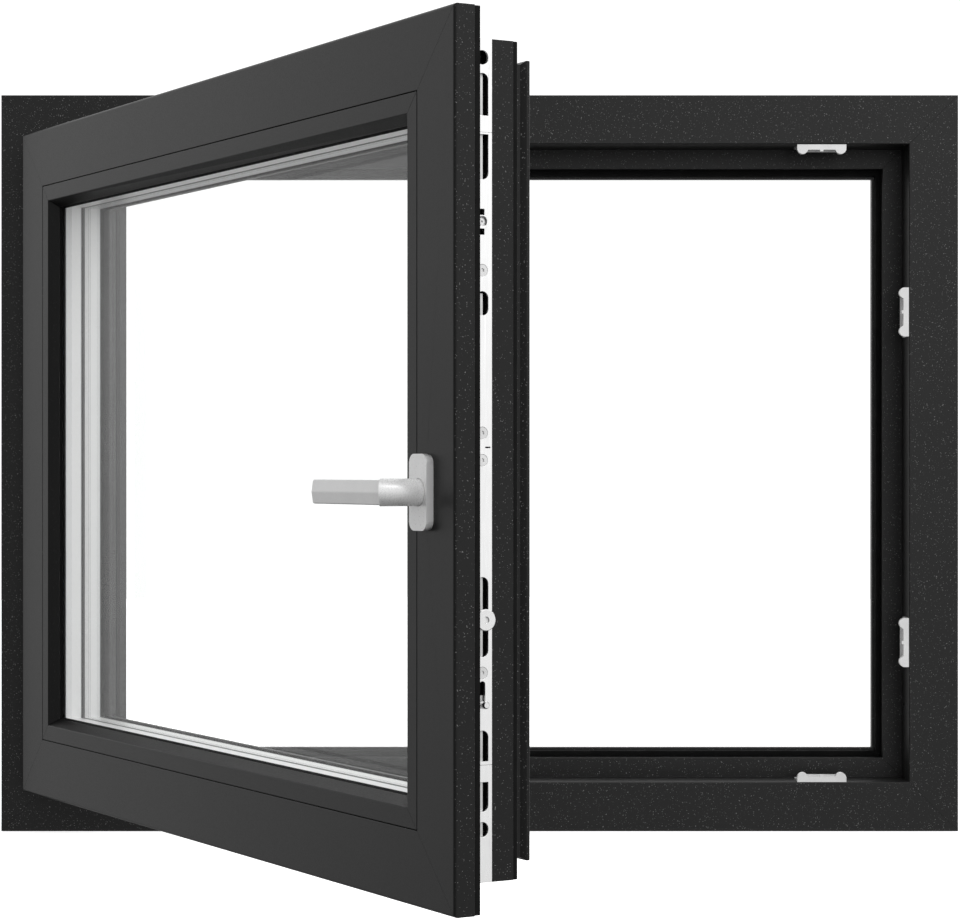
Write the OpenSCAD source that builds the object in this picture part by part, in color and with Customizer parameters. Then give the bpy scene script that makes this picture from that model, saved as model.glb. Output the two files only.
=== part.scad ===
// Side-hung, inward-opening casement window: mitred frame, triple-glazed sash,
// perimeter gear driven by a lever handle, two barrel hinges on the left.
// +X to the right and +Y to the outside, seen from the room; +Z up.
// Origin: middle of the frame's bottom face. The sash is drawn turned open.

/* [Frame] */
// Outside width of the fixed frame
frame_w = 1170; // [1100:10:1300]
// Outside height of the fixed frame
frame_h = 900; // [880:10:1000]
// Width of the frame's room face
face_w = 60; // [60:1:64]
// Depth of the frame, room face to outside face
frame_d = 91; // [91:1:96]
// Depth of the rebate that the sash body closes into
rebate_d = 56.5; // [56:0.5:57]
// Wall thickness of the extruded sections
wall = 2.4; // [2:0.2:2.6]
// Diameter of the holes for the anchor screws
anchor_d = 6.2; // [5:0.1:8]
// Height of the lower anchor holes above the frame's bottom
anchor_low_z = 150; // [140:5:180]
// Distance between the anchor holes of one jamb
anchor_pitch = 600; // [560:10:620]

/* [Sash] */
// Opening angle at which the sash is drawn
open_deg = 60; // [0:1:95]
// How far the sash lip overlaps the frame's room face
overlap = 7; // [6:0.5:8]
// How far the sash's room face stands in front of the frame
stand_off = 29.4; // [29.4:0.1:30]
// Full thickness of the sash
sash_t = 99.5; // [99.5:0.5:101]
// Thickness of the overlapping lip
lip_t = 21; // [20:0.5:21]
// Width of the sash's room face, up to the glazing bead
stile_w = 68; // [67:0.5:70]
// Radius of the rounded outer edge of the room face
edge_r = 3; // [2:0.5:3]
// Width of the flat face of the glazing bead
bead_w = 18; // [16:1:19]

/* [Glass] */
// Thickness of each of the three panes
pane_t = 4; // [3:0.5:4]
// Gap between two panes
pane_gap = 20; // [18:0.5:20]
// Height of the spacer bar section
spacer_h = 7; // [6:0.5:7]

/* [Handle] */
// Height of the handle spindle above the frame's bottom
handle_z = 422; // [410:1:450]
// Backset from the sash's lip edge to the spindle
handle_u = 53; // [53:1:54]
// Height of the rosette
rosette_h = 68; // [64:1:72]
// Width of the rosette
rosette_w = 32; // [30:1:34]
// Distance from the sash face to the front of the grip
neck_out = 53; // [50:1:58]
// Thickness of the grip, front to back
grip_t = 15.6; // [14:0.2:18]
// Diameter of the neck
neck_d = 24.4; // [22:0.2:25]
// Distance from the spindle to the grip's tip
grip_l = 118.5; // [105:0.5:130]
// Width across the grip
grip_w = 22; // [20:0.5:24]

/* [Locking] */
// Middle of the upper keep on the lock jamb, above the frame's bottom
keep_hi_z = 635; // [630:1:640]
// Middle of the lower keep on the lock jamb
keep_lo_z = 230.6; // [228:0.2:234]
// Distance of the head and sill keeps from the window's middle
keep_x = 418.5; // [400:0.5:440]
// Length of a keep
keep_l = 60; // [58:1:62]
// Height of the large cam above the frame's bottom
cam_z = 309.5; // [306:0.5:312]
// Diameter of the large cam's head
cam_d = 19.2; // [16:0.2:20]
// Teeth on the drive pinion
pinion_n = 15; // [15:1:15]
// Module of the drive pinion
pinion_m = 1.5; // [1.5:0.1:1.5]

/* [Hinges] */
// Distance from the hinge axis to the edge of the frame's opening
hinge_out = 20.4; // [20:0.1:21]
// Distance from the hinge axis to the frame's room face
hinge_fwd = 12; // [12:0.5:13]
// Radius of the hinge barrel
barrel_r = 7; // [6:0.5:7]
// Radius of the hinge pin
pin_r = 3.5; // [3:0.5:3.5]
// Running clearance between a hinge pin and the sash's knuckle
pin_gap = 0.05; // [0.03:0.01:0.08]

/* [Hidden] */
$fn = 48;
e = 0.01;
yf = -frame_d / 2;                      // frame's room face
step_v = face_w + 23.7;                 // inner edge of the rebate step
lip_v = face_w + 34.4;                  // inner edge of the outer lip
lip_y = 78;                             // depth at which the outer lip starts
sash_w = frame_w - 2 * face_w + 2 * overlap;
sash_h = frame_h - 2 * face_w + 2 * overlap;
sx = sash_w / 2;                        // sash's right edge when shut
sz0 = face_w - overlap;                 // sash's bottom edge
sz1 = sz0 + sash_h;                     // sash's top edge
ys = yf - stand_off;                    // sash's room face when shut
body_u = 24.4;                          // recess of the sash body
out_u = 38.3;                           // recess of the sash's outside part
groove_t0 = 32;                         // hardware groove, room side
groove_t1 = 52;                         // hardware groove, outside
gt = (groove_t0 + groove_t1) / 2;       // middle of the hardware groove
plate_x = sx - body_u;                  // surface of the lock side's faceplate
plate_t = 3;                            // faceplate thickness
sight_u = stile_w + 28.4;               // sight line of the glass
glass_u = stile_w + 12;                 // edge of the glass
g0 = 15;                                // room side of the inner pane
bead_d = g0 - 2.8;                      // depth of the glazing bead
g1 = g0 + pane_t;
g2 = g1 + pane_gap;
g3 = g2 + pane_t;
g4 = g3 + pane_gap;
g5 = g4 + pane_t;
back_t = g5 + 2;                        // fixed leg of the sash behind the glass
hx = -(frame_w / 2 - face_w) - hinge_out; // hinge axis
hy = yf - hinge_fwd;
pitch_r = pinion_m * pinion_n / 2;
stroke = pitch_r * PI / 2;              // rod travel for a quarter turn
hand_x = sx - handle_u;
rod_x1 = plate_x - plate_t - 0.5;       // rod's outer surface
rod_x0 = rod_x1 - 3;
pin_lo_z = keep_lo_z + 4;
joint_hi = 739.8;                       // joints between the faceplates
joint_lo = 181;
leg = 130;                              // leg of a corner drive
screw_z = [617.8, 474.3, 450.1, 262.5];
h_screws = [250, -150, -430];           // screws of the top and bottom faceplates

// ---- helpers ----

// The sash, drawn shut, turned about the hinge axis.
module on_sash() {
    translate([hx, hy, 0]) rotate([0, 0, -open_deg]) translate([-hx, -hy, 0]) children();
}

// A mitred bar along X: its section gives (inset, depth), its length is the outside length.
module bar(len, d0, d1, in_max = 100) {
    intersection() {
        translate([len / 2, 0, 0]) rotate([0, -90, 0]) linear_extrude(height = len) children();
        translate([0, d1, 0]) rotate([90, 0, 0]) linear_extrude(height = d1 - d0)
            polygon([[-len / 2, 0], [len / 2, 0], [len / 2 - in_max, in_max], [-len / 2 + in_max, in_max]]);
    }
}
module at_bottom(z0) { translate([0, 0, z0]) children(); }
module at_top(z1) { translate([0, 0, z1]) mirror([0, 0, 1]) children(); }
module at_left(x0, zc) { translate([x0, 0, zc]) rotate([0, 90, 0]) children(); }
module at_right(x1, zc) { translate([x1, 0, zc]) rotate([0, -90, 0]) children(); }

// Four bars joined into a ring round the sash.
module sash_ring(d0, d1) {
    at_bottom(sz0) bar(sash_w, d0, d1) children();
    at_top(sz1) bar(sash_w, d0, d1) children();
    at_left(-sx, (sz0 + sz1) / 2) bar(sash_h, d0, d1) children();
    at_right(sx, (sz0 + sz1) / 2) bar(sash_h, d0, d1) children();
}

// A slot for something that travels: width w across Y, length l along Z, round ends where asked.
module slot_x(zc, l, w, x0, x1, yc, round_top = true, round_low = true) {
    zt = zc + l / 2 - (round_top ? w / 2 : 0);
    zb = zc - l / 2 + (round_low ? w / 2 : 0);
    translate([x0, yc - w / 2, zb]) cube([x1 - x0, w, zt - zb]);
    if (round_top) translate([x0, yc, zt]) rotate([0, 90, 0]) cylinder(r = w / 2, h = x1 - x0);
    if (round_low) translate([x0, yc, zb]) rotate([0, 90, 0]) cylinder(r = w / 2, h = x1 - x0);
}

// A countersunk screw whose head lies flush at z = 0, with a round drive recess.
module screw(head_r, shank_r, l) {
    difference() {
        union() {
            translate([0, 0, -head_r * 0.5]) cylinder(r1 = shank_r, r2 = head_r, h = head_r * 0.5);
            translate([0, 0, -l]) cylinder(r = shank_r, h = l - head_r * 0.5 + e);
        }
        translate([0, 0, -1.6]) cylinder(r = head_r * 0.42, h = 2, $fn = 6);
    }
}
module sink(head_r, shank_r, l) {
    translate([0, 0, -head_r * 0.5]) cylinder(r1 = shank_r, r2 = head_r, h = head_r * 0.5);
    cylinder(r = head_r, h = 3);
    translate([0, 0, -l]) cylinder(r = shank_r, h = l);
}

// ---- fixed frame ----

module frame_section() {
    difference() {
        polygon([[0, 0], [face_w - 1, 0], [face_w, 1], [face_w, rebate_d], [step_v, rebate_d], [step_v, lip_y],
            [lip_v, lip_y], [lip_v, frame_d - 1], [lip_v - 1, frame_d], [0, frame_d]]);
        translate([wall, wall]) square([face_w - 2 * wall, 26.6 - wall]);
        translate([wall, 29]) square([face_w - 2 * wall, rebate_d - wall - 29]);
        translate([wall, rebate_d + wall]) square([step_v - 2 * wall, lip_y - rebate_d - wall]);
        translate([wall, lip_y + wall]) square([lip_v - 2 * wall, frame_d - lip_y - 2 * wall]);
    }
}
module frame_bar(len) { translate([0, yf, 0]) bar(len, -1, frame_d + 1) frame_section(); }
module anchor_holes(x, s) {
    for (z = [anchor_low_z, anchor_low_z + anchor_pitch])
        translate([x, yf + 41, z]) rotate([0, 90, 0]) translate([0, 0, -face_w / 2 - 1]) cylinder(d = anchor_d, h = face_w + 2);
}
module frame_head() { color("#353535") at_top(frame_h) frame_bar(frame_w); }
module frame_sill() {
    color("#353535") difference() {
        at_bottom(0) frame_bar(frame_w);
        // drainage slots through the outside lip's foot
        for (x = [-350, 350]) translate([x - 15, yf + frame_d - 5, 84]) cube([30, 6, 5]);
    }
}
module frame_jamb_hinge() {
    color("#353535") difference() {
        at_left(-frame_w / 2, frame_h / 2) frame_bar(frame_h);
        anchor_holes(-frame_w / 2 + face_w / 2, 1);
    }
}
module frame_jamb_lock() {
    color("#353535") difference() {
        at_right(frame_w / 2, frame_h / 2) frame_bar(frame_h);
        anchor_holes(frame_w / 2 - face_w / 2, 1);
    }
}
module cleat(o, w, l, d) {
    translate([o, 0, o]) cube([l, d, w]);
    translate([o, 0, o]) cube([w, d, l]);
}
module frame_corner_cleats() {
    color("#9a9a9a") for (mx = [0, 1], mz = [0, 1])
        translate([mx * frame_w - frame_w / 2, yf + wall + 0.3, mz * frame_h])
            mirror([mx, 0, 0]) mirror([0, 0, mz]) cleat(wall + 0.3, 13, 95, 23.6);
}
module frame_seal() {
    color("#0c0c0c") translate([0, yf, 0]) {
        at_bottom(0) bar(frame_w, 70, 80) seal_c();
        at_top(frame_h) bar(frame_w, 70, 80) seal_c();
        at_left(-frame_w / 2, frame_h / 2) bar(frame_h, 70, 80) seal_c();
        at_right(frame_w / 2, frame_h / 2) bar(frame_h, 70, 80) seal_c();
    }
}
module seal_c() { polygon([[step_v, 71.4], [step_v + 7, 70.8], [step_v + 7.6, 72.2], [step_v + 7.6, lip_y], [step_v, lip_y]]); }

// A keep with its base on the plane x = 0, reaching towards -X, its length along Z and the room at low Y.
module keep() {
    l = keep_l / 2;
    difference() {
        union() {
            translate([-2.5, 0, -l]) cube([2.5, 32, keep_l]);
            translate([-6.5, 0, -l]) cube([6.5, 7.6, keep_l]);
            for (s = [-1, 1]) keep_claw(s);
            translate([-8.6, 0, -2]) cube([3, 7.6, 4]);
            translate([-6.2, 26.5, -l + 8]) cube([6.2, 4.5, keep_l - 16]);
        }
        for (s = [-1, 1]) translate([-2.5, 17, s * 17]) rotate([0, -90, 0]) sink(4, 2.05, 6);
    }
}
module keep_claw(s) {
    l = keep_l / 2;
    // round-ended, and cut off flush with the base
    translate([0, 7.6, s * (l - 6.7)]) rotate([90, 0, 0]) linear_extrude(height = 7.6) intersection() {
        union() {
            translate([-4.9, 0]) circle(r = 6.7);
            translate([-4.9, -6.7]) square([4.9, 13.4]);
        }
        translate([-13, -6.7]) square([13, 13.4]);
    }
}
module keep_at_lock(zc) { translate([frame_w / 2 - face_w, yf + 1, zc]) keep(); }
module keep_at_sill() { translate([keep_x, yf + 1, face_w]) rotate([0, 90, 0]) keep(); }
module keep_at_head() { translate([keep_x, yf + 1, frame_h - face_w]) rotate([0, -90, 0]) keep(); }
module keep_head() { color("#e4e4e4") keep_at_head(); }
module keep_sill() { color("#e4e4e4") keep_at_sill(); }
module keep_lock_upper() { color("#e4e4e4") keep_at_lock(keep_hi_z); }
module keep_lock_lower() { color("#e4e4e4") keep_at_lock(keep_lo_z); }
module keep_fixings() {
    for (s = [-1, 1]) translate([-2.5, 17, s * 17]) rotate([0, -90, 0]) screw(3.9, 2, 4.8);
}
module keep_screws() {
    color("#c8c8c8") {
        for (z = [keep_hi_z, keep_lo_z]) translate([frame_w / 2 - face_w, yf + 1, z]) keep_fixings();
        translate([keep_x, yf + 1, face_w]) rotate([0, 90, 0]) keep_fixings();
        translate([keep_x, yf + 1, frame_h - face_w]) rotate([0, -90, 0]) keep_fixings();
    }
}

// ---- hinges ----

hz = [62, 758];                          // foot of the lower and the upper hinge
knuckle_l = 30;
module leaf_frame(z0) {
    difference() {
        union() {
            translate([hx, hy, z0]) cylinder(r = barrel_r, h = knuckle_l);
            translate([hx - 4, hy, z0]) cube([8, hinge_fwd - 3, knuckle_l]);
            translate([hx - 9.6, yf - 3.2, z0 - 2]) cube([19.6, 3.2, 2 * knuckle_l + 6]);
        }
        translate([hx, hy, z0 - 1]) cylinder(r = pin_r, h = knuckle_l + 2);
        for (z = [z0 + 38, z0 + 56]) translate([hx, yf - 3.2, z]) rotate([90, 0, 0]) sink(4, 2.05, 6);
    }
}
module leaf_sash(z0) {
    zk = z0 + knuckle_l + 0.3;
    difference() {
        union() {
            translate([hx, hy, zk]) cylinder(r = barrel_r, h = knuckle_l);
            translate([hx + 3, hy - 4, zk]) cube([-sx - 3.2 - hx - 3 + e, 6.4, knuckle_l]);
            translate([-sx - 3.2, ys + 3, zk]) cube([3.2, 16.5, 2 * knuckle_l - 4]);
        }
        translate([hx, hy, zk - 1]) cylinder(r = pin_r + pin_gap, h = knuckle_l + 2);
        for (z = [zk + 38, zk + 50]) translate([-sx - 3.2, ys + 11, z]) rotate([0, -90, 0]) sink(3.6, 2.05, 6);
    }
}
module hinge_leaf_frame_lower() { color("#3a3a3a") leaf_frame(hz[0]); }
module hinge_leaf_frame_upper() { color("#3a3a3a") leaf_frame(hz[1]); }
module hinge_leaf_sash_lower() { color("#3a3a3a") on_sash() leaf_sash(hz[0]); }
module hinge_leaf_sash_upper() { color("#3a3a3a") on_sash() leaf_sash(hz[1]); }
module hinge_pins() {
    color("#b8b8b8") for (z0 = [hz[0], hz[1]])
        translate([hx, hy, z0 - 1.5]) union() {
            cylinder(r = pin_r, h = 2 * knuckle_l + 3);
            cylinder(r = 5, h = 1.5);
        }
}
module hinge_screws_frame() {
    color("#b8b8b8") for (z0 = [hz[0], hz[1]], z = [z0 + 38, z0 + 56])
        translate([hx, yf - 3.2, z]) rotate([90, 0, 0]) screw(3.9, 2, 5.4);
}
module hinge_screws_sash() {
    color("#b8b8b8") on_sash() for (z0 = [hz[0], hz[1]], dz = [38, 50])
        translate([-sx - 3.2, ys + 11, z0 + knuckle_l + 0.3 + dz]) rotate([0, -90, 0]) screw(3.5, 2, 5.4);
}

// ---- sash profile ----

module sash_section() {
    difference() {
        polygon(concat(
            [for (a = [180:15:270]) [edge_r + edge_r * cos(a), edge_r + edge_r * sin(a)]],
            [[stile_w - 0.5, 0], [stile_w, 0.7], [stile_w, bead_d + 0.2], [stile_w + 6, bead_d + 0.2], [stile_w + 6, back_t],
                [sight_u, back_t], [sight_u, back_t + 2.5], [stile_w + 19, sash_t - 0.7], [stile_w + 18.3, sash_t],
                [out_u + 0.7, sash_t], [out_u, sash_t - 0.7], [out_u, 96], [out_u + 3.3, 91], [out_u + 3.3, 78.4],
                [34, 78.4], [34, 74.2], [body_u + 0.5, 74.2], [body_u, 73.7], [body_u, groove_t1], [36.4, groove_t1],
                [36.4, groove_t0], [body_u, groove_t0], [body_u, lip_t], [0.8, lip_t], [0, lip_t - 0.8]]));
        translate([2.6, 2.6]) square([stile_w - 5.2, lip_t - 5]);
        translate([38.8, lip_t]) square([stile_w + 3.6 - 38.8, 45.5]);
        translate([26.8, groove_t1 + 2.4]) square([9.6, 17.3]);
        translate([out_u + 5.7, back_t + 2.4]) square([stile_w + 16.5 - out_u - 5.7, sash_t - back_t - 4.8]);
    }
}
module sash_bar(len) { bar(len, ys - 1, ys + sash_t + 1, 100) translate([0, ys]) sash_section(); }
sash_zc = (sz0 + sz1) / 2;
module sash_rail_top() { color("#484848") on_sash() at_top(sz1) sash_bar(sash_w); }
module sash_rail_bottom() {
    color("#484848") on_sash() difference() {
        at_bottom(sz0) sash_bar(sash_w);
        for (x = [-300, 300]) translate([x - 12, ys + 80, sz0 + out_u + 2]) cube([24, 5, 6]);
    }
}
module sash_stile_hinge() { color("#484848") on_sash() at_left(-sx, sash_zc) sash_bar(sash_h); }
module sash_stile_lock() {
    color("#484848") on_sash() difference() {
        at_right(sx, sash_zc) sash_bar(sash_h);
        // bore for the handle and its two screws
        translate([hand_x, ys + 28, handle_z]) rotate([90, 0, 0]) cylinder(r = 7, h = 40);
        for (s = [-1, 1]) translate([hand_x, ys + 28, handle_z + s * 21.5]) rotate([90, 0, 0]) cylinder(r = 2.7, h = 40);
        // opening in the groove's floor for the gearbox
        translate([sx - 40, ys + groove_t0 + 1.5, handle_z - 61]) cube([6, groove_t1 - groove_t0 - 3, 122]);
    }
}
module sash_corner_cleats() {
    color("#9a9a9a") on_sash() for (mx = [0, 1], mz = [0, 1])
        translate([(mx * 2 - 1) * sx, ys + lip_t + 1, mz * sash_h + sz0])
            mirror([mx, 0, 0]) mirror([0, 0, mz]) cleat(39.2, 12, 85, 36);
}
module overlap_seal() {
    color("#0c0c0c") on_sash() sash_ring(ys + lip_t - 1, ys + 30) translate([0, ys])
        polygon([[0.6, lip_t], [6, lip_t], [7.6, 28.4], [6.6, stand_off - 0.4], [5.4, 28.3], [4.2, 26.2], [0.6, 26]]);
}
module edge_seal() {
    color("#0c0c0c") on_sash() sash_ring(ys + 74, ys + 79) translate([0, ys])
        polygon([[body_u + 0.3, 74.3], [33.9, 74.3], [33.9, 78.3], [body_u + 0.9, 78.3], [body_u + 0.3, 77.7]]);
}
module bead_section() {
    polygon([[stile_w + 0.3, 0.9], [stile_w + 0.9, 0], [stile_w + bead_w, 0], [stile_w + bead_w + 0.7, 0.5],
        [stile_w + 26.4, bead_d - 0.8], [stile_w + 26.4, bead_d], [stile_w + 0.3, bead_d]]);
}
module bead_bar(len) { bar(len, ys - 1, ys + 15) translate([0, ys]) bead_section(); }
module bead_top() { color("#454545") on_sash() at_top(sz1) bead_bar(sash_w); }
module bead_bottom() { color("#454545") on_sash() at_bottom(sz0) bead_bar(sash_w); }
module bead_hinge() { color("#454545") on_sash() at_left(-sx, sash_zc) bead_bar(sash_h); }
module bead_lock() { color("#454545") on_sash() at_right(sx, sash_zc) bead_bar(sash_h); }

// ---- glazing ----

module glazing_seal_inner() {
    color("#0c0c0c") on_sash() sash_ring(ys + 11, ys + 17) translate([0, ys])
        polygon([[stile_w + 20, bead_d + 0.05], [stile_w + 26.6, bead_d + 0.05], [stile_w + 28.4, g0 - 0.8], [stile_w + 28.4, g0], [stile_w + 20, g0]]);
}
module glazing_seal_outer() {
    color("#0c0c0c") on_sash() sash_ring(ys + g5 - 1, ys + back_t + 1) translate([0, ys])
        polygon([[stile_w + 20, g5], [sight_u, g5], [sight_u, back_t], [stile_w + 20, back_t]]);
}
module pane(t0) {
    translate([-sx + glass_u, ys + t0, sz0 + glass_u]) cube([sash_w - 2 * glass_u, pane_t, sash_h - 2 * glass_u]);
}
module pane_inner() { color("#dfe8e6", 0.3) on_sash() pane(g0); }
module pane_middle() { color("#dfe8e6", 0.3) on_sash() pane(g2); }
module pane_outer() { color("#dfe8e6", 0.3) on_sash() pane(g4); }
module square_ring(t0, t1, u0, u1) {
    difference() {
        translate([-sx + u0, ys + t0, sz0 + u0]) cube([sash_w - 2 * u0, t1 - t0, sash_h - 2 * u0]);
        translate([-sx + u1, ys + t0 - 1, sz0 + u1]) cube([sash_w - 2 * u1, t1 - t0 + 2, sash_h - 2 * u1]);
    }
}
module spacer_inner() { color("#e0e0e0") on_sash() square_ring(g1, g2, sight_u - 2 - spacer_h, sight_u - 2); }
module spacer_outer() { color("#e4e4e4") on_sash() square_ring(g3, g4, sight_u - 2 - spacer_h, sight_u - 2); }
module edge_sealant() {
    color("#151515") on_sash() {
        square_ring(g1, g2, glass_u + 1, sight_u - 2 - spacer_h);
        square_ring(g3, g4, glass_u + 1, sight_u - 2 - spacer_h);
    }
}
module glazing_blocks() {
    color("#3060a0") on_sash() {
        for (x = [-330, 330 - 100]) {
            translate([x, ys + g0 + 0.5, sz0 + stile_w + 6]) cube([100, 51, 6]);
            translate([x, ys + g0 + 0.5, sz1 - stile_w - 12]) cube([100, 51, 6]);
        }
        for (z = [sz0 + 180, sz1 - 280]) {
            translate([-sx + stile_w + 6, ys + g0 + 0.5, z]) cube([6, 51, 100]);
            translate([sx - stile_w - 12, ys + g0 + 0.5, z]) cube([6, 51, 100]);
        }
    }
}

// ---- perimeter gear ----

yg = ys + gt;                            // middle of the groove when shut
fw = groove_t1 - groove_t0 - 0.2;
module plate_v(z0, z1) { translate([plate_x - plate_t, yg - fw / 2, z0]) cube([plate_t, fw, z1 - z0]); }
module pin_slot(z) { slot_x(z + stroke / 2, stroke + 5.6, 5.6, plate_x - plate_t - 1, plate_x + 1, yg); }
// Flat-headed faceplate screw with a hexagon recess, its head's top at z = 0.
module flat_screw(l) {
    difference() {
        union() {
            translate([0, 0, -1.3]) cylinder(r = 5.2, h = 1.3);
            translate([0, 0, -l]) cylinder(r = 1.9, h = l - 1.3 + e);
        }
        translate([0, 0, -1.1]) cylinder(r = 2.1, h = 2, $fn = 6);
    }
}
module seat(z) {
    translate([plate_x - 1.45, yg, z]) rotate([0, 90, 0]) cylinder(r = 5.35, h = 2);
    translate([plate_x - plate_t - 1, yg, z]) rotate([0, 90, 0]) cylinder(r = 2.05, h = 5);
}
module dish(z, r) {
    translate([plate_x - 2.2, yg, z]) rotate([0, 90, 0]) cylinder(r1 = r - 1.8, r2 = r + 0.05, h = 2.25);
    translate([plate_x - plate_t - 1, yg, z]) rotate([0, 90, 0]) cylinder(r = 2.05, h = 5);
}
module faceplate_lock() {
    color("#ececec") on_sash() difference() {
        plate_v(joint_lo + 0.2, joint_hi - 0.2);
        slot_x(718, 40, 12, plate_x - plate_t - 1, plate_x + 1, yg, false, true);
        slot_x(588.6, 21.3, 12, plate_x - plate_t - 1, plate_x + 1, yg);
        slot_x(311.8, 70.4, 12, plate_x - plate_t - 1, plate_x + 1, yg);
        slot_x(198, 27.2, 12, plate_x - plate_t - 1, plate_x + 1, yg, true, false);
        pin_slot(pin_lo_z);
        // adjuster window: a square opening on each side of its screw
        for (z = [649.2, 666.6]) translate([plate_x - plate_t - 1, yg - 3.4, z]) cube([plate_t + 2, 5.4, 5.4]);
        for (z = screw_z) seat(z);
        dish(661, 4.9);
        // short vent slit
        translate([plate_x - plate_t - 1, yg + 3, 460.8]) cube([plate_t + 2, 5, 1.3]);
    }
}
module faceplate_screws() {
    color("#cfcfcf") on_sash() {
        // the two beside the rack only hold the cover; the others reach the groove's floor through slots in the rods
        for (z = screw_z) translate([plate_x - 0.1, yg, z]) rotate([0, 90, 0]) flat_screw(abs(z - 462) < 20 ? 3 : 14.3);
        translate([plate_x - 0.9, yg, 661]) rotate([0, 90, 0]) screw(2.6, 1.9, 13.5);
        for (x = h_screws) {
            translate([x, yg, sz1 - body_u - 0.1]) flat_screw(14.3);
            translate([x, yg, sz0 + body_u + 0.1]) rotate([180, 0, 0]) flat_screw(14.3);
        }
    }
}
module plate_h_top(x0, x1) { translate([x0, yg - fw / 2, sz1 - body_u - plate_t]) cube([x1 - x0, fw, plate_t]); }
module dish_h(x) {
    translate([x, yg, sz1 - body_u - 1.45]) cylinder(r = 5.35, h = 2);
    translate([x, yg, sz1 - body_u - plate_t - 1]) cylinder(r = 2.05, h = 5);
}
module plate_top_solid() {
    difference() {
        plate_h_top(-sx + 60, plate_x - leg - 0.2);
        for (x = h_screws) dish_h(x);
    }
}
module faceplate_top() { color("#ececec") on_sash() plate_top_solid(); }
module faceplate_bottom() {
    color("#ececec") on_sash() translate([0, 0, sz0 + sz1]) mirror([0, 0, 1]) plate_top_solid();
}
module horizontal_pin_slot(x0, x1) {
    translate([x0, yg - 2.8, sz1 - body_u - plate_t - 1]) cube([x1 - x0, 5.6, plate_t + 2]);
    for (x = [x0, x1]) translate([x, yg, sz1 - body_u - plate_t - 1]) cylinder(r = 2.8, h = plate_t + 2);
}
module corner_leg_h(x0, x1) {
    difference() {
        plate_h_top(plate_x - leg, plate_x);
        horizontal_pin_slot(x0, x1);
    }
}
module corner_drive_upper() {
    color("#efefef") on_sash() {
        difference() {
            plate_v(joint_hi, sz1 - body_u - plate_t);
            slot_x(773.2, 37.4, 12, plate_x - plate_t - 1, plate_x + 1, yg, true, false);
            slot_x(805.7, 12.5, 12, plate_x - plate_t - 1, plate_x + 1, yg);
        }
        corner_leg_h(keep_x - stroke, keep_x);
        // guide tongue behind the round opening
        translate([plate_x - 8.6, yg - 6, 797]) cube([1.4, 8, sz1 - body_u - plate_t - 797 + 0.2]);
    }
}
module corner_drive_lower() {
    color("#efefef") on_sash() {
        difference() {
            plate_v(sz0 + body_u + plate_t, joint_lo);
            slot_x(153, 26, 12, plate_x - plate_t - 1, plate_x + 1, yg, false, true);
            slot_x(124.3, 13, 12, plate_x - plate_t - 1, plate_x + 1, yg);
        }
        translate([0, 0, sz0 + sz1]) mirror([0, 0, 1]) corner_leg_h(keep_x, keep_x + stroke);
    }
}

// ---- gearbox and rods ----

module gearbox_case() {
    color("#a8a8a8") on_sash() difference() {
        translate([hand_x - 16, yg - 8, handle_z - 60]) cube([rod_x0 - 0.6 - (hand_x - 16), 16, 120]);
        // room for the pinion and the rack
        translate([hand_x, yg + 6, handle_z]) rotate([90, 0, 0]) cylinder(r = 13.6, h = 12);
        translate([hand_x + 8.4, yg - 4.4, handle_z - 61]) cube([30, 8.8, 122]);
        // bearing of the spindle, and the two handle screws
        translate([hand_x, yg + 9, handle_z]) rotate([90, 0, 0]) cylinder(r = 6.1, h = 18);
        for (s = [-1, 1]) translate([hand_x, yg + 9, handle_z + s * 21.5]) rotate([90, 0, 0]) cylinder(r = 2.1, h = 18);
    }
}
// Pinion outline: straight-flanked teeth, thinned for backlash.
module pinion_2d() {
    circle(r = pitch_r - 1.9, $fn = 60);
    for (i = [0:pinion_n - 1]) rotate(i * 360 / pinion_n)
        polygon([[pitch_r - 2.6, -1.25], [pitch_r, -0.85], [pitch_r + 1.1, -0.4], [pitch_r + 1.1, 0.4], [pitch_r, 0.85], [pitch_r - 2.6, 1.25]]);
}
module drive_pinion() {
    color("#bdbdbd") on_sash() translate([hand_x, yg + 4, handle_z]) rotate([90, 0, 0]) difference() {
        union() {
            linear_extrude(height = 8) pinion_2d();
            translate([0, 0, -3.5]) cylinder(r = 6, h = 15);
        }
        translate([-3.55, -3.55, -6]) cube([7.1, 7.1, 20]);
    }
}
module rack_2d() {
    p = PI * pinion_m;
    difference() {
        translate([pitch_r + 1.9, -38]) square([rod_x0 + 1 - hand_x - pitch_r - 1.9, 76]);
    }
    for (i = [-8:7]) translate([0, (i + 0.5) * p])
        polygon([[pitch_r + 2, -1.2], [pitch_r, -0.85], [pitch_r - 1.1, -0.4], [pitch_r - 1.1, 0.4], [pitch_r, 0.85], [pitch_r + 2, 1.2]]);
}
module rod_lock() {
    color("#d8d8d8") on_sash() {
        difference() {
            translate([rod_x0, yg - 6.6, sz0 + 39]) cube([rod_x1 - rod_x0, 8.8, 708]);
            // notches that pass the fixed screws, and the open stretch behind the adjuster window
            for (z = [617.8, 262.5]) translate([rod_x0 - 1, yg - 2.3, z - stroke - 2.4]) cube([rod_x1 - rod_x0 + 2, 6, stroke + 4.8]);
            translate([rod_x0 - 1, yg - 4, 649 - stroke]) cube([rod_x1 - rod_x0 + 2, 8, stroke + 23.4]);
        }
        translate([hand_x, yg + 3.5, handle_z]) rotate([90, 0, 0]) linear_extrude(height = 7) rack_2d();
    }
}
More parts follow.
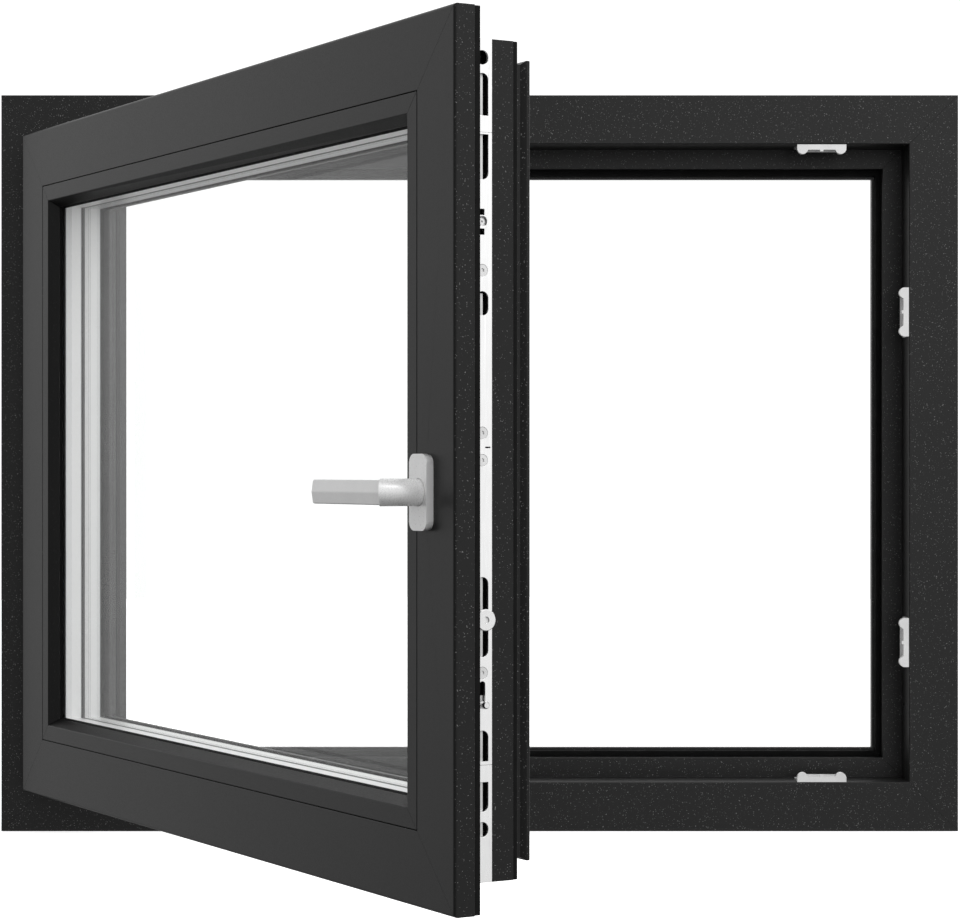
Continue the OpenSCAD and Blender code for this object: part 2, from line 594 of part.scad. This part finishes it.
module roller_cam() {
    color("#f2f2f2") on_sash() translate([rod_x1, yg, cam_z]) rotate([0, 90, 0]) difference() {
        union() {
            cylinder(r = 5.2, h = 7.2);
            translate([0, 0, 7.1]) cylinder(r = cam_d / 2, h = 2.9);
            translate([0, 0, 10 - e]) cylinder(r1 = cam_d / 2, r2 = cam_d / 2 - 0.6, h = 0.6);
        }
        translate([0, 0, 8]) cylinder(r = 3.2, h = 3);
    }
}
// A locking pin on the plane z = 0 of a rod: stem through the faceplate, domed head above it.
module lock_pin() {
    cylinder(r = 2.4, h = 5);
    translate([0, 0, 4.5]) cylinder(r = 3.6, h = 4.4);
    translate([0, 0, 8.9 - e]) intersection() {
        sphere(r = 3.6);
        cylinder(r = 4, h = 2.6);
    }
}
module locking_pins() {
    color("#c4c4c4") on_sash() translate([rod_x1, yg, pin_lo_z]) rotate([0, 90, 0]) lock_pin();
}
module rod_h() {
    difference() {
        translate([-sx + 90, yg - 4, sz1 - body_u - plate_t - 3.5]) cube([sx - 90 + 470, 8, 3]);
        for (x = h_screws) translate([x - stroke - 2.4, yg - 2.3, sz1 - body_u - plate_t - 4.5]) cube([2 * stroke + 4.8, 4.6, 5]);
    }
    translate([keep_x, yg, sz1 - body_u - plate_t - 0.5]) lock_pin();
}
module rod_top() { color("#d8d8d8") on_sash() rod_h(); }
module rod_bottom() { color("#d8d8d8") on_sash() translate([0, 0, sz0 + sz1]) mirror([0, 0, 1]) rod_h(); }

// ---- handle ----

module rounded_plate(w, h, r, t) {
    linear_extrude(height = t) {
        translate([-w / 2 + r, -h / 2]) square([w - 2 * r, h]);
        translate([-w / 2, -h / 2 + r]) square([w, h - 2 * r]);
        for (x = [-1, 1], y = [-1, 1]) translate([x * (w / 2 - r), y * (h / 2 - r)]) circle(r = r);
    }
}
// Handle parts are drawn with their axis along +Z, towards the room, and the grip along -X.
module at_handle() { on_sash() translate([hand_x, ys, handle_z]) rotate([90, 0, 0]) children(); }
module rosette() {
    color("#d0d0d0") at_handle() difference() {
        union() {
            rounded_plate(rosette_w - 1.6, rosette_h - 1.6, 8.2, 2.7);
            translate([0, 0, 2.6]) rounded_plate(rosette_w, rosette_h, 9, 5);
        }
        translate([0, 0, -1]) cylinder(r = 7, h = 9);
        translate([0, 0, 4.4]) cylinder(r = neck_d / 2 + 0.35, h = 5);
        for (s = [-1, 1]) translate([0, s * 21.5, -1]) cylinder(r = 2.7, h = 5);
    }
}
module rosette_screws() {
    color("#b0b0b0") at_handle() for (s = [-1, 1]) translate([0, s * 21.5, 3.8]) union() {
        translate([0, 0, -52]) cylinder(r = 2.1, h = 52);
    }
}
// The side of the mitre that belongs to the neck (keep = 0) or to the grip (keep = 1), as a thick slab along Y.
module mitre(keep) {
    r = neck_d / 2 + e;
    k = (grip_t / 2) / r;
    m = neck_out - grip_t / 2;
    translate([0, 40, 0]) rotate([90, 0, 0]) linear_extrude(height = 80)
        polygon(keep == 0 ? [[-40, m - 40 * k], [40, m + 40 * k], [40, -20], [-40, -20]]
                          : [[-200, m - 200 * k], [40, m + 40 * k], [40, 120], [-200, 120]]);
}
module handle_neck() {
    color("#f0f0f0") at_handle() difference() {
        union() {
            intersection() {
                translate([0, 0, 4.8]) cylinder(r = neck_d / 2, h = neck_out);
                mitre(0);
            }
            translate([0, 0, 1]) cylinder(r = 6.6, h = 5);
        }
        translate([-3.55, -3.55, 0]) cube([7.1, 7.1, 30]);
    }
}
module handle_spindle() {
    color("#a8a8a8") at_handle() translate([-3.5, -3.5, -gt - 7.5]) cube([7, 7, gt + 7.5 + 29]);
}
module handle_grip() {
    w = grip_w / 2;
    t = grip_t;
    color("#cfcfcf") at_handle() intersection() {
        translate([neck_d / 2, 0, neck_out - t]) rotate([0, -90, 0]) linear_extrude(height = grip_l + neck_d / 2)
            polygon([[0, -w + 4], [3, -w + 0.6], [4.5, -w], [t - 3, -w], [t - 1.4, -w + 0.9], [t, -0.6], [t, 0.6], [t - 1.4, w - 0.9],
                [t - 3, w], [4.5, w], [3, w - 0.6], [0, w - 4]]);
        mitre(1);
    }
}

frame_head();
frame_sill();
frame_jamb_hinge();
frame_jamb_lock();
frame_corner_cleats();
frame_seal();
keep_head();
keep_sill();
keep_lock_upper();
keep_lock_lower();
keep_screws();
hinge_leaf_frame_upper();
hinge_leaf_frame_lower();
hinge_pins();
hinge_screws_frame();
sash_rail_top();
sash_rail_bottom();
sash_stile_hinge();
sash_stile_lock();
sash_corner_cleats();
overlap_seal();
edge_seal();
bead_top();
bead_bottom();
bead_hinge();
bead_lock();
glazing_seal_inner();
glazing_seal_outer();
glazing_blocks();
pane_inner();
pane_middle();
pane_outer();
spacer_inner();
spacer_outer();
edge_sealant();
faceplate_lock();
faceplate_top();
faceplate_bottom();
corner_drive_upper();
corner_drive_lower();
faceplate_screws();
gearbox_case();
hinge_leaf_sash_upper();
hinge_leaf_sash_lower();
hinge_screws_sash();
rosette();
rosette_screws();
handle_neck();
handle_grip();
handle_spindle();
drive_pinion();
rod_lock();
roller_cam();
locking_pins();
rod_top();
rod_bottom();
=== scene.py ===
"""Looks for a side-hung casement window: coats, metals, glass, seals, light and camera."""

import math
import bpy
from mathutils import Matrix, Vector

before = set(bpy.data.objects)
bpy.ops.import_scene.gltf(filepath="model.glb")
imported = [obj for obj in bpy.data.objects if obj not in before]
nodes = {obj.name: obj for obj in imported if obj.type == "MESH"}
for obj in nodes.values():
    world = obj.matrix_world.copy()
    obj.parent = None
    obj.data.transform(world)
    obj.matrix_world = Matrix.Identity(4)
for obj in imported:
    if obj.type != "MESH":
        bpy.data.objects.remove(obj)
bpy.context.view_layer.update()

# The sash's own directions in the stored pose, 60 degrees open about its left edge.
ROOM = Vector((-0.8660254, -0.5, 0.0))    # out of the sash's room face
SIDE = Vector((0.5, -0.8660254, 0.0))     # from the hinge edge to the lock edge
HINGE = Vector((-0.5454, -0.0575, 0.0))
FACE_AT = HINGE.dot(ROOM) + 0.0174        # the room face's place along ROOM


# ---------------------------------------------------------------- node helpers
class Mat:
    def __init__(self, name, color, rough, metallic=0.0, specular=0.5):
        self.m = bpy.data.materials.new(name)
        self.m.use_nodes = True
        self.t = self.m.node_tree
        self.t.nodes.clear()
        self.out = self.t.nodes.new("ShaderNodeOutputMaterial")
        self.p = self.t.nodes.new("ShaderNodeBsdfPrincipled")
        self.t.links.new(self.p.outputs[0], self.out.inputs["Surface"])
        self.p.inputs["Base Color"].default_value = (*color, 1)
        self.p.inputs["Roughness"].default_value = rough
        self.p.inputs["Metallic"].default_value = metallic
        self.p.inputs["Specular IOR Level"].default_value = specular
        self.m.diffuse_color = (*color, 1)
        self.tc = self.t.nodes.new("ShaderNodeTexCoord")

    def new(self, kind, **kw):
        n = self.t.nodes.new(kind)
        for k, v in kw.items():
            setattr(n, k, v)
        return n

    def put(self, socket, value):
        if isinstance(value, bpy.types.NodeSocket):
            self.t.links.new(value, socket)
        else:
            socket.default_value = value

    def math(self, op, a, b=0.0, c=None, clamp=False):
        n = self.new("ShaderNodeMath", operation=op, use_clamp=clamp)
        self.put(n.inputs[0], a)
        self.put(n.inputs[1], b)
        if c is not None:
            self.put(n.inputs[2], c)
        return n.outputs[0]

    def dot(self, vec, direction):
        n = self.new("ShaderNodeVectorMath", operation="DOT_PRODUCT")
        self.put(n.inputs[0], vec)
        n.inputs[1].default_value = direction
        return n.outputs["Value"]

    def noise(self, scale, detail=2.0, rough=0.5, stretch=None):
        vec = self.tc.outputs["Object"]
        if stretch is not None:
            m = self.new("ShaderNodeMapping")
            m.inputs["Scale"].default_value = stretch
            self.put(m.inputs["Vector"], vec)
            vec = m.outputs[0]
        n = self.new("ShaderNodeTexNoise")
        n.inputs["Scale"].default_value = scale
        n.inputs["Detail"].default_value = detail
        n.inputs["Roughness"].default_value = rough
        self.put(n.inputs["Vector"], vec)
        return n.outputs["Fac"]

    def span(self, value, lo, hi, to_lo=0.0, to_hi=1.0):
        n = self.new("ShaderNodeMapRange")
        n.clamp = True
        self.put(n.inputs["Value"], value)
        n.inputs["From Min"].default_value = lo
        n.inputs["From Max"].default_value = hi
        n.inputs["To Min"].default_value = to_lo
        n.inputs["To Max"].default_value = to_hi
        return n.outputs[0]

    def mix(self, fac, a, b):
        n = self.new("ShaderNodeMix", data_type="RGBA")
        self.put(n.inputs["Factor"], fac)
        for s, v in ((n.inputs[6], a), (n.inputs[7], b)):
            self.put(s, v if isinstance(v, bpy.types.NodeSocket) else (*v, 1))
        return n.outputs[2]

    def bump(self, height, strength, distance):
        n = self.new("ShaderNodeBump")
        n.inputs["Strength"].default_value = strength
        n.inputs["Distance"].default_value = distance
        self.put(n.inputs["Height"], height)
        self.put(self.p.inputs["Normal"], n.outputs[0])

    def band(self, value, lo, hi, soft=0.00008):
        """1 where value lies between lo and hi."""
        return self.math("MULTIPLY", self.span(value, lo - soft, lo + soft), self.span(value, hi - soft, hi + soft, 1, 0))


def grey(v):
    return (v, v, v)


# ---------------------------------------------------------------- powder coats
def textured_coat(name, dark, light, speck, rough=0.4, satin_and_lit_tone=None, spec=0.4):
    """Fine-structure powder coat with sparse pale specks. The optional (direction, base, base2) argument is where the
    coat is satin instead, and there its lighter base is painted light.
    """
    m = Mat(name, grey(dark), rough, specular=spec)
    fine = m.noise(900, 3, 0.6)
    broad = m.noise(9, 2, 0.5)
    spots = m.span(m.noise(760, 1.0, 0.4), 0.71, 0.74)
    base = m.mix(m.span(fine, 0.3, 0.7), grey(dark), grey(light))
    base = m.mix(m.span(broad, 0.35, 0.65, 0.0, 0.22), base, grey(light * 1.15))
    rgh = m.span(fine, 0.3, 0.7, rough - 0.06, rough + 0.1)
    h = fine
    if satin_and_lit_tone is not None:
        way, a, b = satin_and_lit_tone
        # painted light: faces along this direction get a lighter base, a lit copy of the same paint; their smoother
        # finish without specks is real
        on = m.span(m.dot(m.tc.outputs["Normal"], way), 0.55, 0.9)
        off = m.math("SUBTRACT", 1.0, on)
        spots = m.math("MULTIPLY", spots, off)
        satin = m.mix(m.span(m.noise(3.2, 2, 0.5), 0.35, 0.65), grey(a), grey(b))
        grain = m.noise(1500, 2, 0.5)
        satin = m.mix(m.span(grain, 0.35, 0.65, 0.0, 0.12), satin, grey(b * 1.35))
        base = m.mix(on, base, satin)
        rgh = m.math("SUBTRACT", rgh, m.math("MULTIPLY", on, 0.07))
        h = m.math("MULTIPLY", fine, m.math("ADD", 0.12, m.math("MULTIPLY", off, 0.88)))
    base = m.mix(spots, base, grey(speck))
    m.put(m.p.inputs["Base Color"], base)
    m.put(m.p.inputs["Roughness"], rgh)
    m.bump(h, 0.35, 0.00012)
    return m.m


frame_coat = textured_coat("frame_coat", 0.005, 0.01, 0.22)
# the sash and bead room faces carry painted light through their lighter satin tones
sash_coat = textured_coat("sash_coat", 0.002, 0.004, 0.22, satin_and_lit_tone=(ROOM, 0.005, 0.008), spec=0.3)
bead_coat = textured_coat("bead_coat", 0.002, 0.004, 0.03, satin_and_lit_tone=(ROOM, 0.005, 0.008), spec=0.3)
hinge_coat = textured_coat("hinge_coat", 0.003, 0.008, 0.12)


# ---------------------------------------------------------------- rubber, sealant, plastic
def rubber(name, base, rough):
    m = Mat(name, grey(base), rough, specular=0.12)
    n = m.noise(420, 3, 0.6)
    m.put(m.p.inputs["Base Color"], m.mix(m.span(n, 0.3, 0.7), grey(base * 0.75), grey(base * 1.3)))
    m.put(m.p.inputs["Roughness"], m.span(m.noise(60, 2, 0.5), 0.3, 0.7, rough - 0.08, rough + 0.08))
    m.bump(n, 0.25, 0.0001)
    return m.m


seal_rubber = rubber("seal_rubber", 0.004, 0.62)
sealant = rubber("sealant", 0.006, 0.5)


def blocks():
    m = Mat("block_plastic", (0.03, 0.12, 0.35), 0.45)
    n = m.noise(300, 2, 0.5)
    m.put(m.p.inputs["Base Color"], m.mix(m.span(n, 0.3, 0.7), (0.026, 0.105, 0.32), (0.034, 0.135, 0.38)))
    m.bump(n, 0.2, 0.0001)
    return m.m


block_plastic = blocks()


# ---------------------------------------------------------------- metals
def metal(name, lo, hi, rough, spread=0.06, grain=(1, 1, 1), grain_scale=700, bump=0.12, metallic=1.0, coat=0.0, polished=None, streak=0.35):
    m = Mat(name, grey(hi), rough, metallic=metallic)
    fine = m.noise(grain_scale, 3, 0.6, stretch=grain)
    broad = m.noise(26, 3, 0.55)
    base = m.mix(m.span(broad, 0.3, 0.7), grey(lo), grey(hi))
    base = m.mix(m.span(fine, 0.35, 0.7, 0.0, streak), base, grey(lo * 0.93))
    if polished is not None:                       # painted highlight: faces that look along this direction are made pale and less metallic so they read bright
        on = m.span(m.dot(m.tc.outputs["Normal"], polished), 0.45, 0.75)
        base = m.mix(on, base, grey(0.93))
        m.put(m.p.inputs["Metallic"], m.math("SUBTRACT", metallic, m.math("MULTIPLY", on, 0.8 * metallic)))
    m.put(m.p.inputs["Base Color"], base)
    m.put(m.p.inputs["Roughness"], m.span(fine, 0.3, 0.7, max(0.03, rough - spread), rough + spread))
    m.p.inputs["Coat Weight"].default_value = coat
    if bump:
        m.bump(fine, bump, 0.00005)
    return m.m


faceplate_steel = metal("faceplate_steel", 0.9, 0.96, 0.3, grain=(1, 1, 0.06), bump=0.1)
keep_zinc = metal("keep_zinc", 0.84, 0.96, 0.38, bump=0.14, metallic=0.6)
gear_steel = metal("gear_steel", 0.6, 0.72, 0.38, grain=(1, 1, 0.08))
cam_steel = metal("cam_steel", 0.8, 0.9, 0.22, bump=0.05)
screw_steel = metal("screw_steel", 0.66, 0.8, 0.28, bump=0.05)
cleat_metal = metal("cleat_metal", 0.4, 0.5, 0.45)
# the rosette's sides that face SIDE carry a painted highlight
rosette_satin = metal("rosette_satin", 0.87, 0.93, 0.3, spread=0.03, bump=0.0, metallic=0.55, polished=SIDE, streak=0.1)
grip_satin = metal("grip_satin", 0.9, 0.96, 0.42, spread=0.05, bump=0.08, metallic=0.45)
neck_chrome = metal("neck_chrome", 0.96, 0.99, 0.28, spread=0.04, bump=0.03, metallic=0.12)


def spacer():
    """Pale spacer bar: two rolled grooves run along it, near its room side, with painted shade darkening them."""
    m = Mat("spacer_metal", grey(0.95), 0.35, metallic=0.3)
    d = m.math("SUBTRACT", FACE_AT, m.dot(m.tc.outputs["Object"], ROOM))   # depth behind the room face
    groove_shade_mask = m.band(d, 0.0455, 0.0461)
    for a in (0.0476, 0.0495):
        groove_shade_mask = m.math("MAXIMUM", groove_shade_mask, m.band(d, a, a + 0.0005))
    ends = m.math("MAXIMUM", m.band(d, 0.0188, 0.0198), m.band(d, 0.0381, 0.0391))
    ends = m.math("MAXIMUM", ends, m.math("MAXIMUM", m.band(d, 0.0429, 0.0438), m.band(d, 0.0621, 0.0631)))
    fine = m.noise(500, 2, 0.5)
    base = m.mix(m.span(fine, 0.3, 0.7), grey(0.95), grey(0.98))
    # painted shade: the grooves are coloured dark to stand in for the shade inside them
    base = m.mix(m.math("MULTIPLY", groove_shade_mask, 0.75), base, grey(0.1))
    base = m.mix(m.math("MULTIPLY", ends, 0.6), base, grey(0.08))
    m.put(m.p.inputs["Base Color"], base)
    m.put(m.p.inputs["Roughness"], m.span(fine, 0.3, 0.7, 0.36, 0.48))
    m.bump(m.math("SUBTRACT", 1.0, groove_shade_mask), 0.3, 0.0002)
    return m.m


spacer_metal = spacer()


# ---------------------------------------------------------------- glass
def glass():
    """Clear float glass: what is behind shows through unbent, with a mirror-like sheen at grazing angles."""
    m = Mat("glass", (0.98, 0.995, 0.99), 0.0)
    t = m.t
    clear = m.new("ShaderNodeBsdfTransparent")
    clear.inputs[0].default_value = (0.998, 1.0, 0.999, 1)
    gloss = m.new("ShaderNodeBsdfGlossy")
    gloss.inputs["Color"].default_value = (1, 1, 1, 1)
    gloss.inputs["Roughness"].default_value = 0.02
    fr = m.new("ShaderNodeFresnel")
    fr.inputs["IOR"].default_value = 1.45
    haze = m.span(m.noise(7, 3, 0.6), 0.3, 0.75, 0.7, 0.8)
    geo = m.new("ShaderNodeNewGeometry")
    front = m.math("SUBTRACT", 1.0, geo.outputs["Backfacing"])     # only the side that faces the ray mirrors
    mix = m.new("ShaderNodeMixShader")
    m.put(mix.inputs[0], m.math("MULTIPLY", m.math("MULTIPLY", fr.outputs[0], haze), front))
    m.put(mix.inputs[1], clear.outputs[0])
    m.put(mix.inputs[2], gloss.outputs[0])
    t.links.new(mix.outputs[0], m.out.inputs["Surface"])
    t.nodes.remove(m.p)
    return m.m


glass_mat = glass()

LOOKS = {
    frame_coat: ["frame_head", "frame_sill", "frame_jamb_hinge", "frame_jamb_lock"],
    sash_coat: ["sash_rail_top", "sash_rail_bottom", "sash_stile_hinge", "sash_stile_lock"],
    bead_coat: ["bead_top", "bead_bottom", "bead_hinge", "bead_lock"],
    hinge_coat: ["hinge_leaf_frame_upper", "hinge_leaf_frame_lower", "hinge_leaf_sash_upper", "hinge_leaf_sash_lower"],
    seal_rubber: ["frame_seal", "overlap_seal", "edge_seal", "glazing_seal_inner", "glazing_seal_outer"],
    sealant: ["edge_sealant"],
    block_plastic: ["glazing_blocks"],
    glass_mat: ["pane_inner", "pane_middle", "pane_outer"],
    spacer_metal: ["spacer_inner", "spacer_outer"],
    cleat_metal: ["frame_corner_cleats", "sash_corner_cleats"],
    keep_zinc: ["keep_head", "keep_sill", "keep_lock_upper", "keep_lock_lower"],
    screw_steel: ["keep_screws", "hinge_screws_frame", "hinge_pins", "hinge_screws_sash", "faceplate_screws", "rosette_screws"],
    faceplate_steel: ["faceplate_lock", "faceplate_top", "faceplate_bottom", "corner_drive_upper", "corner_drive_lower"],
    gear_steel: ["gearbox_case", "handle_spindle", "drive_pinion", "rod_lock", "rod_top", "rod_bottom"],
    cam_steel: ["roller_cam", "locking_pins"],
    rosette_satin: ["rosette"],
    grip_satin: ["handle_grip"],
    neck_chrome: ["handle_neck"],
}
done = set()
for material, names in LOOKS.items():
    for name in names:
        o = nodes[name]
        o.data.materials.clear()
        o.data.materials.append(material)
        done.add(name)
missing = sorted(set(nodes) - done)
if missing:
    raise RuntimeError(f"no material for {missing}")

# ---------------------------------------------------------------- softened edges
BEVEL = {
    0.00025: ["frame_head", "frame_sill", "frame_jamb_hinge", "frame_jamb_lock",
             "sash_rail_top", "sash_rail_bottom", "sash_stile_hinge", "sash_stile_lock"],
    0.0003: ["bead_top", "bead_bottom", "bead_hinge", "bead_lock", "keep_head", "keep_sill", "keep_lock_upper", "keep_lock_lower",
             "faceplate_lock", "faceplate_top", "faceplate_bottom", "corner_drive_upper", "corner_drive_lower",
             "hinge_leaf_frame_upper", "hinge_leaf_frame_lower", "hinge_leaf_sash_upper", "hinge_leaf_sash_lower", "roller_cam"],
    0.0009: ["handle_grip", "rosette"],
    0.0007: ["handle_neck"],
}
for width, names in BEVEL.items():
    for name in names:
        o = nodes[name]
        w = o.modifiers.new("weld", "WELD")
        w.merge_threshold = 1e-5
        b = o.modifiers.new("edges", "BEVEL")
        b.width = width
        b.segments = 2
        b.limit_method = "ANGLE"
        b.angle_limit = math.radians(35)
        b.use_clamp_overlap = True
        b.harden_normals = True

# ---------------------------------------------------------------- stage, light, camera
scene = bpy.context.scene
scene.view_settings.view_transform = "Standard"
scene.view_settings.look = "None"
scene.view_settings.exposure = 0.0

world = bpy.data.worlds.new("studio")
scene.world = world
world.use_nodes = True
wt = world.node_tree
wt.nodes.clear()
wo = wt.nodes.new("ShaderNodeOutputWorld")
wb = wt.nodes.new("ShaderNodeBackground")      # what the camera sees: plain white
wb.inputs["Color"].default_value = (1, 1, 1, 1)
wb.inputs["Strength"].default_value = 1.2
wl = wt.nodes.new("ShaderNodeBackground")      # what lights the object: bright above and around, dim below
wl.inputs["Strength"].default_value = 1.0
wc = wt.nodes.new("ShaderNodeTexCoord")
wx = wt.nodes.new("ShaderNodeSeparateXYZ")
wr = wt.nodes.new("ShaderNodeMapRange")
wr.inputs["From Min"].default_value = -1.0
wr.inputs["From Max"].default_value = 1.0
ramp = wt.nodes.new("ShaderNodeValToRGB")
stops = [(0.0, 0.12), (0.3, 0.4), (0.42, 0.8), (0.5, 0.98), (0.58, 1.2), (0.8, 1.25), (1.0, 1.05)]
while len(ramp.color_ramp.elements) < len(stops):
    ramp.color_ramp.elements.new(0.5)
for e, (at, v) in zip(ramp.color_ramp.elements, stops):
    e.position = at
    e.color = (v, v, v, 1)
def world_span(value, lo, hi, a, b):
    n = wt.nodes.new("ShaderNodeMapRange")
    n.interpolation_type = "SMOOTHSTEP"
    for k, v in (("From Min", lo), ("From Max", hi), ("To Min", a), ("To Max", b)):
        n.inputs[k].default_value = v
    wt.links.new(value, n.inputs["Value"])
    return n.outputs[0]


front = world_span(wx.outputs["X"], -0.5, 0.35, 0.3, 1.0)      # on the camera's side: dimmer to the left
behind = world_span(wx.outputs["X"], -0.9, 0.4, 0.68, 1.0)
side = wt.nodes.new("ShaderNodeMix")
wt.links.new(world_span(wx.outputs["Y"], -0.35, 0.2, 0.0, 1.0), side.inputs["Factor"])
wt.links.new(front, side.inputs[2])
wt.links.new(behind, side.inputs[3])
wt.links.new(side.outputs[0], wl.inputs["Strength"])
path = wt.nodes.new("ShaderNodeLightPath")
wm = wt.nodes.new("ShaderNodeMixShader")
wt.links.new(wc.outputs["Generated"], wx.inputs[0])
wt.links.new(wx.outputs["Z"], wr.inputs["Value"])
wt.links.new(wr.outputs[0], ramp.inputs[0])
wt.links.new(ramp.outputs[0], wl.inputs["Color"])
wt.links.new(path.outputs["Is Camera Ray"], wm.inputs[0])
wt.links.new(wl.outputs[0], wm.inputs[1])
wt.links.new(wb.outputs[0], wm.inputs[2])
wt.links.new(wm.outputs[0], wo.inputs["Surface"])

floor_mesh = bpy.data.meshes.new("floor")
R, N = 6.0, 96
ring = [(R * math.cos(2 * math.pi * i / N), R * math.sin(2 * math.pi * i / N), -0.0005) for i in range(N)]
floor_mesh.from_pydata(ring, [], [list(range(N))])
floor = bpy.data.objects.new("floor", floor_mesh)
scene.collection.objects.link(floor)
fm = Mat("floor_white", grey(0.9), 0.7, specular=0.2)
fm.put(fm.p.inputs["Base Color"], fm.mix(fm.span(fm.noise(3, 2, 0.5), 0.3, 0.7), grey(0.9), grey(0.92)))
fm.p.inputs["Emission Color"].default_value = (1, 1, 1, 1)
fm.p.inputs["Emission Strength"].default_value = 0.8
floor_mesh.materials.append(fm.m)
floor.visible_shadow = False
floor.visible_diffuse = False
floor.visible_glossy = False


def area(name, at, to, size, power, size_y=None):
    d = bpy.data.lights.new(name, "AREA")
    d.energy = power
    d.size = size
    if size_y:
        d.shape = "RECTANGLE"
        d.size_y = size_y
    o = bpy.data.objects.new(name, d)
    o.location = at
    o.rotation_euler = (Vector(to) - Vector(at)).to_track_quat("-Z", "Y").to_euler()
    scene.collection.objects.link(o)
    return o


area("key", (1.6, -2.0, 2.4), (0.2, 0.0, 0.8), 1.2, 10, 0.9)

cam_data = bpy.data.cameras.new("camera")
cam_data.lens = 100.38
cam_data.sensor_width = 36.0
cam_data.sensor_fit = "HORIZONTAL"
cam_data.shift_x = 0.0003
cam_data.shift_y = 0.0111
cam_data.clip_end = 100
cam = bpy.data.objects.new("camera", cam_data)
cam.location = (0.0, -3.3187, 0.4415)
cam.rotation_euler = (math.radians(90), 0, 0)
scene.collection.objects.link(cam)
scene.camera = cam
